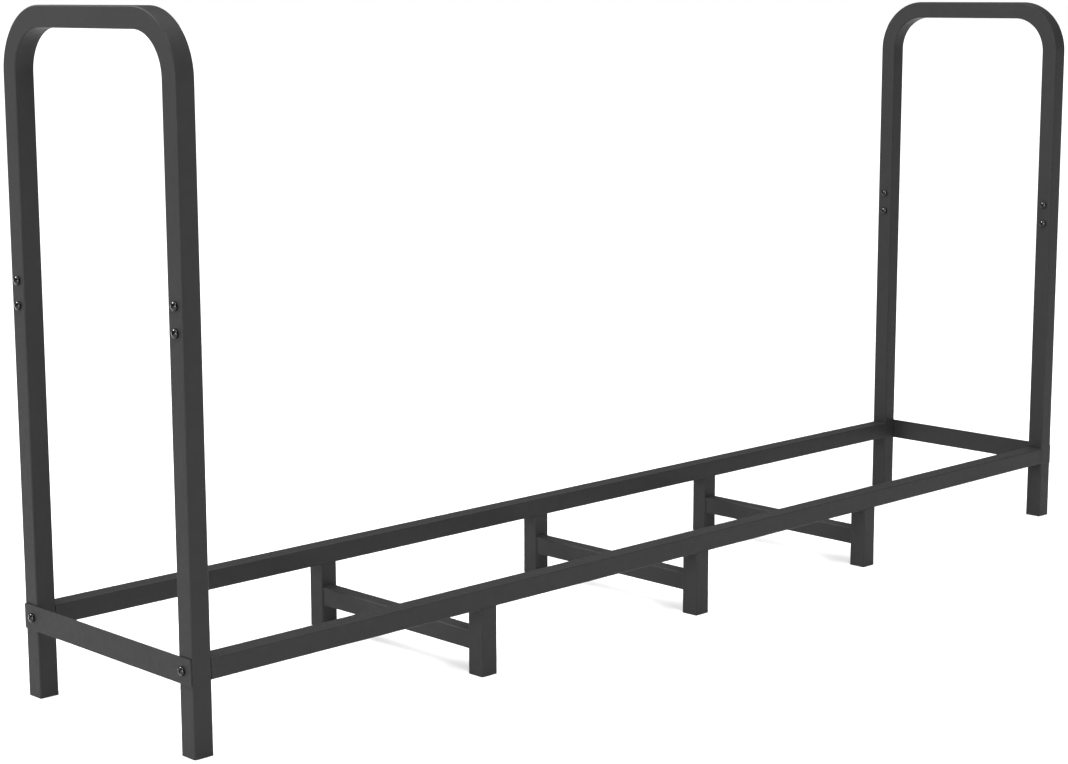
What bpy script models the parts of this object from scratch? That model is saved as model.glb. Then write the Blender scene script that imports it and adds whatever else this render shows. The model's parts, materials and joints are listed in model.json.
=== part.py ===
"""Firewood log rack: two bent hoops on corner posts, joined by two long rails on short legs.

The frame stands with +Z up and +X along the rails. The origin is on the floor, under the middle
of the rack. Every dimension is in metres.
"""

import math

import bmesh
import bpy
from mathutils import Matrix, Vector

# ---- Driving sizes -------------------------------------------------------------------------

LENGTH = 2.000  # over the outer faces of the corner posts, along X
DEPTH = 0.400  # over the front and rear faces, along Y
HEIGHT = 0.973  # floor to the top of the hoops

GAP = 0.0003  # clearance between pieces that touch

TUBE = 0.030  # side of the square tube of the hoops, posts, rails and legs
TUBE_WALL = 0.0015
TUBE_CORNER = 0.002  # outer corner radius of the tube's section
BEND_RADIUS = 0.076  # of the hoop tube's centre line

RAIL_TOP = 0.133  # height of the face that the logs lie on
BAYS = (0.512, 0.470, 0.439)  # left post to leg 1, leg 1 to leg 2, leg 2 to leg 3, at centres

BRACE_WIDTH = 0.026  # along X, a little narrower than the legs
BRACE_HEIGHT = 0.029
BRACE_BOTTOM = 0.037  # height of the brace's underside

JOINT_HEIGHT = 0.580  # where each hoop leg meets its post
SLEEVE_LENGTH = 0.120
SLEEVE_WALL = 0.002
JOINT_SCREW_SPACING = 0.035  # one screw above the joint, one below

BAR_HEIGHT = 0.0365
BAR_THICKNESS = 0.002
BAR_END_INSET = 0.001  # from the front and rear faces to the bar's ends
BAR_CORNER = 0.002
BAR_SCREW_INSET = 0.020  # from the front and rear faces to the bar's screws

INSERT_LENGTH = 0.030  # threaded block in each end of a rail
SCREW_DIAMETER = 0.006
HEAD_DIAMETER = 0.013
HEAD_HEIGHT = 0.0045
HEAD_RIM = 0.0015  # height of the upright rim under the head's dome
HOLE_CLEARANCE = 0.0009  # how much wider a screw's hole is than the screw
BAR_SCREW_BITE = 0.022  # how far a bar screw reaches into its insert
NUT_FLATS = 0.010
NUT_HEIGHT = 0.005

PLUG_HEIGHT = 0.020
PLUG_WALL = 0.002
PLUG_FLOOR = 0.003

# ---- Mesh fineness -------------------------------------------------------------------------

CORNER_SEGMENTS = 2
BEND_SEGMENTS = 8
ROUND_SEGMENTS = 12
DOME_SEGMENTS = 3
WELD_DISTANCE = 0.00001
SMALLEST_CORNER = 0.0001
SHARP_ANGLE = math.radians(35)  # edges that turn more than this are shaded sharp
CUT_MARGIN = 0.005  # how far a hole's cutter stands out of what it cuts

# ---- Sizes that follow from the driving ones -----------------------------------------------

BORE = TUBE - 2 * TUBE_WALL  # inside of the tube
INNER_CORNER = max(TUBE_CORNER - TUBE_WALL, SMALLEST_CORNER)
INSERTED = BORE - 2 * GAP  # outside of what slides into the tube
INSERTED_CORNER = max(INNER_CORNER - GAP, SMALLEST_CORNER)
HOLE_DIAMETER = SCREW_DIAMETER + HOLE_CLEARANCE
THREAD_BORE = SCREW_DIAMETER + 2 * GAP  # of the nuts and inserts
POST_X = (LENGTH - TUBE) / 2
POST_Y = (DEPTH - TUBE) / 2
BAR_X = LENGTH / 2 + GAP
BAR_SCREW_Y = DEPTH / 2 - BAR_SCREW_INSET
RAIL_Z = RAIL_TOP - TUBE / 2
RAIL_LENGTH = LENGTH - 2 * (TUBE + GAP)
POST_LENGTH = JOINT_HEIGHT - GAP / 2
LEG_LENGTH = RAIL_TOP - TUBE - GAP
JOINT_SCREW_LENGTH = GAP + TUBE + GAP + NUT_HEIGHT
BAR_SCREW_LENGTH = GAP + BAR_THICKNESS + GAP + TUBE + GAP + BAR_SCREW_BITE

ENDS = {"left": -1, "right": 1}
SIDES = {"front": -1, "rear": 1}


# ---- Materials -----------------------------------------------------------------------------


def principled(name, color, roughness, metallic):
    """A Principled material of one colour."""
    material = bpy.data.materials.new(name)
    material.use_nodes = True
    shader = material.node_tree.nodes["Principled BSDF"]
    shader.inputs["Base Color"].default_value = (*color, 1.0)
    shader.inputs["Roughness"].default_value = roughness
    shader.inputs["Metallic"].default_value = metallic
    material.diffuse_color = (*color, 1.0)
    return material


# ---- Outlines: closed loops of points in the XY plane --------------------------------------


def rounded_rectangle(width, height, radius):
    """Points round a rectangle with rounded corners, counter-clockwise from the +X +Y corner."""
    points = []
    for quarter in range(4):
        turn = quarter * math.pi / 2
        sign_x = 1 if quarter in (0, 3) else -1
        sign_y = 1 if quarter in (0, 1) else -1
        centre_x = sign_x * (width / 2 - radius)
        centre_y = sign_y * (height / 2 - radius)
        for step in range(CORNER_SEGMENTS + 1):
            angle = turn + step * math.pi / 2 / CORNER_SEGMENTS
            points.append((centre_x + radius * math.cos(angle), centre_y + radius * math.sin(angle)))
    return points


def circle(diameter, centre_y=0.0):
    """Points round a circle whose first point lies at 15 degrees, to face a rounded corner."""
    points = []
    for step in range(ROUND_SEGMENTS):
        angle = (step + 0.5) * 2 * math.pi / ROUND_SEGMENTS
        points.append((diameter / 2 * math.cos(angle), centre_y + diameter / 2 * math.sin(angle)))
    return points


def hexagon(flats):
    """Points round a hexagon, with one in the middle of each side."""
    points = []
    for step in range(ROUND_SEGMENTS):
        angle = (step + 0.5) * 2 * math.pi / ROUND_SEGMENTS
        radius = flats / 2 if step % 2 else flats / math.sqrt(3)
        points.append((radius * math.cos(angle), radius * math.sin(angle)))
    return points


# ---- Meshes, each at its own local origin --------------------------------------------------


def finish_mesh(bm, name):
    """Weld, turn the faces outwards and store the mesh."""
    bmesh.ops.remove_doubles(bm, verts=bm.verts, dist=WELD_DISTANCE)
    bmesh.ops.recalc_face_normals(bm, faces=bm.faces)
    if bm.calc_volume(signed=True) < 0:
        bmesh.ops.reverse_faces(bm, faces=bm.faces)
    mesh = bpy.data.meshes.new(name)
    bm.to_mesh(mesh)
    bm.free()
    mesh.shade_smooth()
    mesh.set_sharp_from_angle(angle=SHARP_ANGLE)
    return mesh


def ring_faces(bm, outer, inner):
    """The flat ring between two outlines with the same number of points."""
    outer_verts = [bm.verts.new((x, y, 0.0)) for x, y in outer]
    inner_verts = [bm.verts.new((x, y, 0.0)) for x, y in inner]
    faces = []
    count = len(outer)
    for index in range(count):
        after = (index + 1) % count
        corners = (outer_verts[index], outer_verts[after], inner_verts[after], inner_verts[index])
        faces.append(bm.faces.new(corners))
    return faces


def extrude(bm, faces, matrix):
    """Extrude the faces, carry the new end by a matrix and return the faces at that end."""
    region = set(faces)
    neighbours = {other for face in faces for edge in face.edges for other in edge.link_faces}
    made = bmesh.ops.extrude_face_region(bm, geom=faces)["geom"]
    verts = [item for item in made if isinstance(item, bmesh.types.BMVert)]
    bmesh.ops.transform(bm, matrix=matrix, verts=verts)
    if neighbours - region:
        bmesh.ops.delete(bm, geom=faces, context="FACES")
    return [item for item in made if isinstance(item, bmesh.types.BMFace)]


def move(x, y, z):
    """The matrix that shifts by an offset."""
    return Matrix.Translation((x, y, z))


def ring_prism(name, outer, inner, length):
    """A straight open-ended ring section, from z = 0 up."""
    bm = bmesh.new()
    extrude(bm, ring_faces(bm, outer, inner), move(0.0, 0.0, length))
    return finish_mesh(bm, name)


def square_tube(name, width, height, wall, corner, length):
    """A rectangular tube along +Z, open at both ends."""
    outer = rounded_rectangle(width, height, corner)
    inner_corner = max(corner - wall, SMALLEST_CORNER)
    inner = rounded_rectangle(width - 2 * wall, height - 2 * wall, inner_corner)
    return ring_prism(name, outer, inner, length)


def bend(bm, faces, centre):
    """Carry the faces through a quarter turn about the X direction, over the top towards +Y."""
    pivot = Matrix.Translation(centre)
    step = pivot @ Matrix.Rotation(-math.pi / 2 / BEND_SEGMENTS, 4, "X") @ pivot.inverted()
    for _ in range(BEND_SEGMENTS):
        faces = extrude(bm, faces, step)
    return faces


def hoop_mesh():
    """One tube bent into an upside-down U in the YZ plane, its legs ending at the joints."""
    outer = rounded_rectangle(TUBE, TUBE, TUBE_CORNER)
    inner = rounded_rectangle(BORE, BORE, INNER_CORNER)
    leg_bottom = JOINT_HEIGHT + GAP / 2
    bend_z = HEIGHT - TUBE / 2 - BEND_RADIUS
    straight_y = POST_Y - BEND_RADIUS
    bm = bmesh.new()
    faces = ring_faces(bm, outer, inner)
    bmesh.ops.translate(bm, verts=bm.verts, vec=(0.0, -POST_Y, leg_bottom))
    faces = extrude(bm, faces, move(0.0, 0.0, bend_z - leg_bottom))
    faces = bend(bm, faces, (0.0, -straight_y, bend_z))
    faces = extrude(bm, faces, move(0.0, 2 * straight_y, 0.0))
    faces = bend(bm, faces, (0.0, straight_y, bend_z))
    extrude(bm, faces, move(0.0, 0.0, leg_bottom - bend_z))
    return finish_mesh(bm, "hoop")


def bar_mesh():
    """A flat strip with rounded corners, its thickness along +Z."""
    bm = bmesh.new()
    outline = rounded_rectangle(BAR_HEIGHT, DEPTH - 2 * BAR_END_INSET, BAR_CORNER)
    face = bm.faces.new([bm.verts.new((x, y, 0.0)) for x, y in outline])
    extrude(bm, [face], move(0.0, 0.0, BAR_THICKNESS))
    return finish_mesh(bm, "end_bar")


def screw_mesh(name, length):
    """A domed screw turned about Z: its head below z = 0, its shank above."""
    head = HEAD_DIAMETER / 2
    dome = HEAD_HEIGHT - HEAD_RIM
    profile = [(0.0, -HEAD_HEIGHT)]
    for step in range(1, DOME_SEGMENTS + 1):
        angle = step * math.pi / 2 / DOME_SEGMENTS
        profile.append((head * math.sin(angle), -HEAD_RIM - dome * math.cos(angle)))
    profile.append((head, 0.0))
    profile.append((SCREW_DIAMETER / 2, 0.0))
    profile.append((SCREW_DIAMETER / 2, length))
    profile.append((0.0, length))
    bm = bmesh.new()
    verts = [bm.verts.new((radius, 0.0, z)) for radius, z in profile]
    edges = [bm.edges.new(pair) for pair in zip(verts, verts[1:])]
    bmesh.ops.spin(
        bm,
        geom=edges + verts,
        cent=(0.0, 0.0, 0.0),
        axis=(0.0, 0.0, 1.0),
        angle=2 * math.pi,
        steps=ROUND_SEGMENTS,
        use_merge=True,
    )
    return finish_mesh(bm, name)


def insert_mesh():
    """A square block that fills the rail's bore, with a threaded hole in line with the bar screw."""
    outer = rounded_rectangle(INSERTED, INSERTED, INSERTED_CORNER)
    hole = circle(THREAD_BORE, TUBE / 2 - BAR_SCREW_INSET)
    return ring_prism("rail_insert", outer, hole, INSERT_LENGTH)


def plug_mesh():
    """A square cup that closes the foot of a tube, open at its top."""
    bm = bmesh.new()
    hollow = INSERTED - 2 * PLUG_WALL
    outer = rounded_rectangle(INSERTED, INSERTED, INSERTED_CORNER)
    inner = rounded_rectangle(hollow, hollow, SMALLEST_CORNER)
    rim = ring_faces(bm, outer, inner)
    floor = bm.faces.new([face.verts[3] for face in rim])
    extrude(bm, rim + [floor], move(0.0, 0.0, -PLUG_FLOOR))
    extrude(bm, rim, move(0.0, 0.0, PLUG_HEIGHT - PLUG_FLOOR))
    bmesh.ops.translate(bm, verts=bm.verts, vec=(0.0, 0.0, PLUG_FLOOR))
    return finish_mesh(bm, "foot_plug")


# ---- Objects -------------------------------------------------------------------------------


def place(name, mesh, material, location, rotation=(0.0, 0.0, 0.0), parent=None):
    """Put a mesh in the scene as a sub-part."""
    piece = bpy.data.objects.new(name, mesh)
    bpy.context.scene.collection.objects.link(piece)
    if not mesh.materials:
        mesh.materials.append(material)
    piece.location = location
    piece.rotation_euler = rotation
    piece.parent = parent
    return piece


def hole_cutter(name, holes, parent):
    """Cylinders along X, each given by its centre and length, that cut the screw holes."""
    bm = bmesh.new()
    for centre, length in holes:
        matrix = Matrix.Translation(centre) @ Matrix.Rotation(math.pi / 2, 4, "Y")
        bmesh.ops.create_cone(
            bm,
            cap_ends=True,
            segments=ROUND_SEGMENTS,
            radius1=HOLE_DIAMETER / 2,
            radius2=HOLE_DIAMETER / 2,
            depth=length,
            matrix=matrix,
        )
    mesh = bpy.data.meshes.new(name)
    bm.to_mesh(mesh)
    bm.free()
    cutter = bpy.data.objects.new(name, mesh)
    bpy.context.scene.collection.objects.link(cutter)
    cutter.parent = parent
    cutter.hide_render = True
    cutter.display_type = "WIRE"
    return cutter


def cut(piece, cutter):
    """Cut the cutter's holes in a piece."""
    modifier = piece.modifiers.new("holes", "BOOLEAN")
    modifier.operation = "DIFFERENCE"
    modifier.solver = "EXACT"
    modifier.object = cutter


def build_cutters(root):
    """One cutter for each corner: two joint screws through the post, one bar screw into it."""
    cutters = {}
    for end, end_sign in ENDS.items():
        for side, side_sign in SIDES.items():
            holes = []
            for level in (-1, 1):
                height = JOINT_HEIGHT + level * JOINT_SCREW_SPACING / 2
                centre = Vector((end_sign * POST_X, side_sign * POST_Y, height))
                holes.append((centre, TUBE + 2 * CUT_MARGIN))
            bar_centre = Vector((end_sign * POST_X, side_sign * BAR_SCREW_Y, RAIL_Z))
            holes.append((bar_centre, TUBE + 2 * (BAR_THICKNESS + CUT_MARGIN)))
            cutters[end, side] = hole_cutter(f"{side}_{end}_hole_cutter", holes, root)
    return cutters


def build_end_frames(root, cutters, coat, steel):
    """The hoops, the posts they stand on, and the sleeves that join them."""
    hoop = hoop_mesh()
    post = square_tube("post", TUBE, TUBE, TUBE_WALL, TUBE_CORNER, POST_LENGTH)
    sleeve = square_tube("sleeve", INSERTED, INSERTED, SLEEVE_WALL, INSERTED_CORNER, SLEEVE_LENGTH)
    sleeve_z = JOINT_HEIGHT - SLEEVE_LENGTH / 2
    for end, end_sign in ENDS.items():
        hoop_piece = place(f"{end}_hoop", hoop, coat, (end_sign * POST_X, 0.0, 0.0), parent=root)
        for side, side_sign in SIDES.items():
            foot = Vector((end_sign * POST_X, side_sign * POST_Y, 0.0))
            corner = f"{side}_{end}"
            post_piece = place(f"{corner}_post", post, coat, foot, parent=root)
            sleeve_at = foot + Vector((0.0, 0.0, sleeve_z))
            sleeve_piece = place(f"{corner}_sleeve", sleeve, steel, sleeve_at, parent=root)
            for piece in (hoop_piece, post_piece, sleeve_piece):
                cut(piece, cutters[end, side])


def build_rails(root, coat, steel):
    """The two long rails and the threaded block in each of their ends."""
    rail = square_tube("rail", TUBE, TUBE, TUBE_WALL, TUBE_CORNER, RAIL_LENGTH)
    insert = insert_mesh()
    for side, side_sign in SIDES.items():
        start = (-RAIL_LENGTH / 2, side_sign * POST_Y, RAIL_Z)
        place(f"{side}_rail", rail, coat, start, (0.0, math.pi / 2, 0.0), root)
        # The block's hole lies towards the middle of the rack, so the front block is turned about Z.
        turn = (0.0, math.pi / 2, 0.0 if side == "rear" else math.pi)
        for end, end_sign in ENDS.items():
            middle = end_sign * (RAIL_LENGTH - INSERT_LENGTH) / 2
            at = (middle - side_sign * INSERT_LENGTH / 2, side_sign * POST_Y, RAIL_Z)
            place(f"{side}_rail_{end}_insert", insert, steel, at, turn, root)


def build_legs(root, coat):
    """Three pairs of short legs under the rails, each pair joined by a brace."""
    leg = square_tube("leg", TUBE, TUBE, TUBE_WALL, TUBE_CORNER, LEG_LENGTH)
    brace_length = DEPTH - 2 * (TUBE + GAP)
    brace = square_tube("brace", BRACE_WIDTH, BRACE_HEIGHT, TUBE_WALL, TUBE_CORNER, brace_length)
    x = -POST_X
    for number, bay in enumerate(BAYS, start=1):
        x += bay
        for side, side_sign in SIDES.items():
            place(f"{side}_leg_{number}", leg, coat, (x, side_sign * POST_Y, 0.0), parent=root)
        brace_at = (x, brace_length / 2, BRACE_BOTTOM + BRACE_HEIGHT / 2)
        place(f"cross_brace_{number}", brace, coat, brace_at, (math.pi / 2, 0.0, 0.0), root)


def build_bars(root, cutters, coat):
    """A flat bar over the outer faces of the posts at each end."""
    bar = bar_mesh()
    for end, end_sign in ENDS.items():
        at = (end_sign * BAR_X, 0.0, RAIL_Z)
        piece = place(f"{end}_end_bar", bar, coat, at, (0.0, end_sign * math.pi / 2, 0.0), root)
        for side in SIDES:
            cut(piece, cutters[end, side])


def build_fasteners(root, black):
    """The screws and nuts of the leg joints, and the screws of the end bars."""
    joint_screw = screw_mesh("joint_screw", JOINT_SCREW_LENGTH)
    bar_screw = screw_mesh("bar_screw", BAR_SCREW_LENGTH)
    nut = ring_prism("nut", hexagon(NUT_FLATS), circle(THREAD_BORE), NUT_HEIGHT)
    along_x = (0.0, math.pi / 2, 0.0)
    for end, end_sign in ENDS.items():
        for side, side_sign in SIDES.items():
            corner = f"{side}_{end}"
            y = side_sign * POST_Y
            for level, level_sign in (("lower", -1), ("upper", 1)):
                z = JOINT_HEIGHT + level_sign * JOINT_SCREW_SPACING / 2
                x = end_sign * POST_X - TUBE / 2 - GAP
                place(f"{corner}_{level}_screw", joint_screw, black, (x, y, z), along_x, root)
                x = end_sign * POST_X + TUBE / 2 + GAP
                place(f"{corner}_{level}_nut", nut, black, (x, y, z), along_x, root)
            x = end_sign * (BAR_X + BAR_THICKNESS + GAP)
            at = (x, side_sign * BAR_SCREW_Y, RAIL_Z)
            inwards = (0.0, -end_sign * math.pi / 2, 0.0)
            place(f"{corner}_bar_screw", bar_screw, black, at, inwards, root)


def build_plugs(root, plastic):
    """A plug in the foot of each post and leg."""
    plug = plug_mesh()
    for side, side_sign in SIDES.items():
        y = side_sign * POST_Y
        for end, end_sign in ENDS.items():
            place(f"{side}_{end}_foot_plug", plug, plastic, (end_sign * POST_X, y, 0.0), parent=root)
        x = -POST_X
        for number, bay in enumerate(BAYS, start=1):
            x += bay
            place(f"{side}_leg_{number}_foot_plug", plug, plastic, (x, y, 0.0), parent=root)


def main():
    """Clear the scene and build the rack."""
    for old in list(bpy.data.objects):
        bpy.data.objects.remove(old, do_unlink=True)
    root = bpy.data.objects.new("log_rack", None)
    bpy.context.scene.collection.objects.link(root)
    coat = principled("charcoal_powder_coat", (0.055, 0.055, 0.056), 0.5, 0.0)
    black = principled("gloss_black_screw", (0.012, 0.012, 0.012), 0.2, 0.8)
    steel = principled("zinc_plated_steel", (0.55, 0.56, 0.58), 0.35, 1.0)
    plastic = principled("black_plug_plastic", (0.02, 0.02, 0.02), 0.6, 0.0)
    cutters = build_cutters(root)
    build_end_frames(root, cutters, coat, steel)
    build_rails(root, coat, steel)
    build_legs(root, coat)
    build_bars(root, cutters, coat)
    build_fasteners(root, black)
    build_plugs(root, plastic)


main()
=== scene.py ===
"""Firewood log rack: the visible model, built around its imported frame.

Every tube, bar, screw, nut and plug is a piece of its own, and so are the welds of each leg.
Sizes that a piece shares with the frame are read from the frame's nodes. The rest are fields of
the piece's class or are named just below. Lengths are in metres, +X runs along the rails, +Y to
the rear and +Z up.
"""

import json
import logging
import math
from dataclasses import dataclass, field
from enum import Enum
from typing import Iterable, Sequence

import bmesh
import bpy
from mathutils import Matrix, Vector


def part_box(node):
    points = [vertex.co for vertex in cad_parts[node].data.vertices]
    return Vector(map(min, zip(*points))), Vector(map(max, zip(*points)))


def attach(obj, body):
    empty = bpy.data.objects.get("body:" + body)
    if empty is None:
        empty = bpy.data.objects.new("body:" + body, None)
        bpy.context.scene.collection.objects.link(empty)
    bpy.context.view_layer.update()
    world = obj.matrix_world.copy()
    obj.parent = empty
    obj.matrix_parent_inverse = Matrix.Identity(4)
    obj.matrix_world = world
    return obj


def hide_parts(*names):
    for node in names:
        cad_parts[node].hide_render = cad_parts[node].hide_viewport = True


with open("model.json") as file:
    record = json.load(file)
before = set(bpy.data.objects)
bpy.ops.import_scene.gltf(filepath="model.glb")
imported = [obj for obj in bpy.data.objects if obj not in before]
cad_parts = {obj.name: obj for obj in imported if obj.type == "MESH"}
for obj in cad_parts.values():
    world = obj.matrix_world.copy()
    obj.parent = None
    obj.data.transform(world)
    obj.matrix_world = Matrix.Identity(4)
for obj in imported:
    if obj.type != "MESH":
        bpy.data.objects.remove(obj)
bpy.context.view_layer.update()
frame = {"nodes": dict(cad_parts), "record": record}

LOG = logging.getLogger("log_rack")
BODY = "root"
EDGE_WEAR_AND_HIGHLIGHT_LAYER = "edge_wear_and_highlight"  # from 0 on the flats to 1 on an outer edge; it drives the coat's edge wear and its painted edge highlight
ENDS = ("left", "right")
SIDES = ("front", "rear")
LEG_NUMBERS = (1, 2, 3)
TUBE_WALL = 0.0015
FIT_GAP = 0.0003  # what the frame leaves between pieces that touch
FLAT_FACE_WEIGHT = 100  # how far large faces rule the shading where they meet small ones
TINY = 1e-6

Color = tuple[float, float, float]
Band = tuple[float, float]


class Slot(Enum):
    """Material slots of the record."""

    POWDER_COAT = "powder_coat"
    BLACK_FASTENER = "black_fastener"
    PLATED_STEEL = "plated_steel"
    BLACK_PLASTIC = "black_plastic"


class Axis(Enum):
    """The direction that a straight piece runs in."""

    X = "X"
    MINUS_X = "-X"
    Y = "Y"
    Z = "Z"

    def matrix(self) -> Matrix:
        """Work out the turn that carries +Z to this direction.

        Returns:
            The turn.
        """
        turns = {
            Axis.X: Matrix.Rotation(math.pi / 2, 4, "Y"),
            Axis.MINUS_X: Matrix.Rotation(-math.pi / 2, 4, "Y"),
            Axis.Y: Matrix.Rotation(-math.pi / 2, 4, "X"),
            Axis.Z: Matrix.Identity(4),
        }
        return turns[self]


# ---- Finishes ------------------------------------------------------------------------------


CLOUD_BAND: Band = (0.3, 0.7)  # the noise values that most of a pattern lies between


@dataclass(frozen=True)
class Finish:
    """A material and the record's slot that it fills."""

    material: bpy.types.Material
    slot: Slot


@dataclass(frozen=True)
class Pattern:
    """A noise pattern: features in one metre, octaves, and the share of each finer octave."""

    scale: float
    octaves: float = 2.0
    finer_share: float = 0.5


class ShaderGraph:
    """A material and short ways to add nodes to it."""

    MIX_COLOR_INPUTS = (0, 6, 7)  # the Mix node's factor, A and B sockets for colours
    MIX_COLOR_OUTPUT = 2

    def __init__(self, name: str) -> None:
        """Start a material with one Principled shader.

        Args:
            name: The material's name.
        """
        self.material = bpy.data.materials.new(name)
        self.material.use_nodes = True
        self.tree = self.material.node_tree
        self.shader = self.tree.nodes["Principled BSDF"]

    def node(self, kind: str, **settings: object) -> bpy.types.Node:
        """Add a node.

        Args:
            kind: The node's type name, without its ShaderNode prefix.
            **settings: Properties to set on the node.

        Returns:
            The new node.
        """
        made = self.tree.nodes.new("ShaderNode" + kind)
        for key, value in settings.items():
            setattr(made, key, value)
        return made

    def feed(self, socket: bpy.types.NodeSocket, value: object) -> None:
        """Link a socket to a node's output, or set it to a constant.

        Args:
            socket: The input socket.
            value: An output socket, a number or a colour.
        """
        if isinstance(value, bpy.types.NodeSocket):
            self.tree.links.new(value, socket)
        else:
            socket.default_value = value

    def place(self) -> bpy.types.NodeSocket:
        """Return the object coordinates."""
        return self.node("TexCoord").outputs["Object"]

    def stretched(self, scale: Sequence[float]) -> bpy.types.NodeSocket:
        """Return the object coordinates, scaled separately along each axis.

        Args:
            scale: The scale along X, Y and Z.

        Returns:
            The scaled coordinates.
        """
        mapping = self.node("Mapping")
        self.feed(mapping.inputs["Vector"], self.place())
        mapping.inputs["Scale"].default_value = scale
        return mapping.outputs["Vector"]

    def noise(
        self, pattern: Pattern, vector: bpy.types.NodeSocket | None = None
    ) -> bpy.types.NodeSocket:
        """Add a noise texture.

        Args:
            pattern: The noise pattern.
            vector: Coordinates, or None for the object's own.

        Returns:
            The noise value.
        """
        noise = self.node("TexNoise")
        self.feed(noise.inputs["Vector"], self.place() if vector is None else vector)
        noise.inputs["Scale"].default_value = pattern.scale
        noise.inputs["Detail"].default_value = pattern.octaves
        noise.inputs["Roughness"].default_value = pattern.finer_share
        return noise.outputs["Fac"]

    def remap(
        self, value: bpy.types.NodeSocket, source: Band, target: Band
    ) -> bpy.types.NodeSocket:
        """Carry a value from one range to another, clamped.

        Args:
            value: The value.
            source: The range that it comes from.
            target: The range that it goes to.

        Returns:
            The remapped value.
        """
        remap = self.node("MapRange", clamp=True)
        self.feed(remap.inputs["Value"], value)
        for socket, number in zip(("From Min", "From Max", "To Min", "To Max"), source + target):
            remap.inputs[socket].default_value = number
        return remap.outputs["Result"]

    def math(self, operation: str, first: object, second: object) -> bpy.types.NodeSocket:
        """Combine two values.

        Args:
            operation: A Math node operation.
            first: An output socket or a number.
            second: An output socket or a number.

        Returns:
            The result.
        """
        made = self.node("Math", operation=operation)
        self.feed(made.inputs[0], first)
        self.feed(made.inputs[1], second)
        return made.outputs[0]

    def blend(self, factor: object, first: object, second: object) -> bpy.types.NodeSocket:
        """Mix two colours.

        Args:
            factor: 0 for the first colour, 1 for the second.
            first: An output socket or a colour.
            second: An output socket or a colour.

        Returns:
            The mixed colour.
        """
        mix = self.node("Mix", data_type="RGBA")
        for socket, value in zip(self.MIX_COLOR_INPUTS, (factor, first, second)):
            self.feed(mix.inputs[socket], value)
        return mix.outputs[self.MIX_COLOR_OUTPUT]

    def wear_and_highlight_mask(self) -> bpy.types.NodeSocket:
        """Return the piece's own measure of how near a point lies to an outer edge, which drives edge wear
        and a painted edge highlight.
        """
        return self.node("Attribute", attribute_name=EDGE_WEAR_AND_HIGHLIGHT_LAYER).outputs["Fac"]

    def bump(self, *layers: tuple[bpy.types.NodeSocket, float]) -> None:
        """Give the shader a bumped normal.

        Args:
            *layers: Each a height from 0 to 1 and the depth in metres that it stands for.
        """
        normal = None
        for height, depth in layers:
            bump = self.node("Bump")
            self.feed(bump.inputs["Height"], height)
            bump.inputs["Distance"].default_value = depth
            if normal is not None:
                self.feed(bump.inputs["Normal"], normal)
            normal = bump.outputs["Normal"]
        self.feed(self.shader.inputs["Normal"], normal)


def shade(color: Color, share: float = 1.0) -> tuple[float, float, float, float]:
    """Return a colour made lighter or darker by a share, with full alpha."""
    return (*(channel * share for channel in color), 1.0)


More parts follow.
